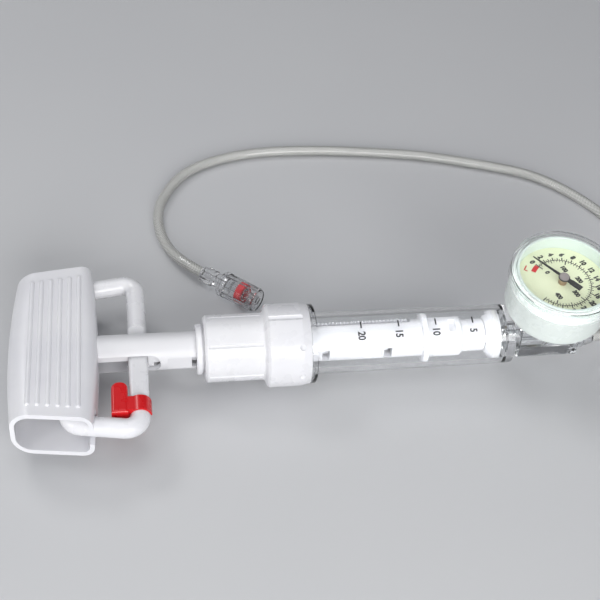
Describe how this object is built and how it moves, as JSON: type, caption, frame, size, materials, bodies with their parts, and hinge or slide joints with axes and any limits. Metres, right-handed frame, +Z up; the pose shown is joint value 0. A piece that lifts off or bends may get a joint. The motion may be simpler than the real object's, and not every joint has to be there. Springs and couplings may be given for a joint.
{
  "type": "syringe inflation pump with dial gauge",
  "caption": "Hand-held screw syringe pump with a palm grip, squeeze release bar, clear graduated barrel, round dial gauge and a braided pressure tube with a luer end.",
  "frame": {"origin": "on the surface the pump lies on, under the middle of its length and on the plane through the syringe axis", "axes": "+X along the syringe axis from the palm grip towards the gauge end, +Z up, +Y away from the side the dial leans towards"},
  "size_m": [0.2934, 0.2007, 0.0584],
  "materials": {
    "clear_plastic": "clear gloss",
    "white_plastic": "satin white",
    "seal_rubber": "soft, pale",
    "red_plastic": "gloss red",
    "dial_face": "matt, printed",
    "pointer_black": "matt black",
    "pointer_grey": "matt grey",
    "brass": "machined",
    "bronze": "drawn",
    "steel": "bright",
    "tube_plastic": "clear hose over a white braid"
  },
  "bodies": {
    "syringe": {"barrel": "clear_plastic", "barrel_nut": "white_plastic", "half_nut": "white_plastic", "rear_bush": "white_plastic", "manifold": "clear_plastic", "outlet_fitting": "clear_plastic", "gauge_case": "white_plastic", "gauge_lens": "clear_plastic", "dial_surround": "white_plastic", "dial_plate": "dial_face", "gauge_stem": "brass", "stem_seal": "seal_rubber", "tube_socket": "brass", "bourdon_tube": "bronze", "movement_base": "brass", "movement_bridge": "brass", "movement_posts": "steel", "sector_arbor": "steel", "pressure_tube": "tube_plastic", "luer_hub": "clear_plastic", "luer_ring": "red_plastic"},
    "piston_head": {"piston": "white_plastic", "piston_seal": "seal_rubber"},
    "plunger": {"plunger_rod": "white_plastic", "flange_screws": "steel", "piston_stem": "white_plastic", "stem_pin": "steel", "grip_shell": "white_plastic", "return_spring": "steel", "tooth_springs": "steel"},
    "trigger": {"squeeze_bar": "white_plastic", "release_slide": "white_plastic"},
    "rack": {"toothed_half": "white_plastic", "draw_pins": "steel"},
    "lock": {"lock_clip": "red_plastic"},
    "needle": {"pointer": "pointer_black", "pointer_cap": "pointer_grey", "pointer_boss": "brass", "pinion_shaft": "steel"},
    "sector": {"sector_gear": "brass"},
    "link": {"sector_link": "brass"},
    "luer_nut": {"luer_collar": "clear_plastic"}
  },
  "joints": [
    {"name": "plunger_slide", "type": "slide", "parent": "syringe", "child": "piston_head", "axis": [1, 0, 0], "range_m": [-0.058, 0.002]},
    {"name": "plunger_turn", "type": "hinge", "parent": "piston_head", "child": "plunger", "pos_m": [-0.0021, 0, 0.01695], "axis": [1, 0, 0], "continuous": true},
    {"name": "trigger_squeeze", "type": "slide", "parent": "plunger", "child": "trigger", "axis": [-1, 0, 0], "range_m": [0, 0.0045], "stiffness_N_per_m": 900, "springref_m": -0.003, "deforming": ["return_spring"]},
    {"name": "rack_drop", "type": "slide", "parent": "plunger", "child": "rack", "axis": [0, -1, 0], "range_m": [0, 0.00162], "deforming": ["tooth_springs"]},
    {"name": "lock_flip", "type": "hinge", "parent": "trigger", "child": "lock", "pos_m": [-0.07069, -0.031, 0.01695], "axis": [0, 1, 0], "range_deg": [0, 175]},
    {"name": "pointer_turn", "type": "hinge", "parent": "syringe", "child": "needle", "pos_m": [0.0982, -0.00469, 0.04658], "axis": [0, 0.1564, -0.9877], "range_deg": [-9, 270], "stiffness_Nm_per_rad": 0.0002},
    {"name": "sector_turn", "type": "hinge", "parent": "syringe", "child": "sector", "pos_m": [0.10422, -0.01412, 0.03942], "axis": [0, 0.1564, -0.9877], "range_deg": [-54.5, 2.3]},
    {"name": "link_turn", "type": "hinge", "parent": "sector", "child": "link", "pos_m": [0.10217, -0.01553, 0.04041], "axis": [0, 0.1564, -0.9877], "range_deg": [-2.3, 54.5]},
    {"name": "luer_collar_turn", "type": "hinge", "parent": "syringe", "child": "luer_nut", "pos_m": [-0.02452, 0.04503, 0.0057], "axis": [0.7467, -0.6652, 0], "continuous": true}
  ],
  "couplings": [
    {"joint": "rack_drop", "follows": "trigger_squeeze", "ratio": 0.35556},
    {"joint": "sector_turn", "follows": "pointer_turn", "ratio": -0.2},
    {"joint": "link_turn", "follows": "pointer_turn", "ratio": 0.2}
  ]
}
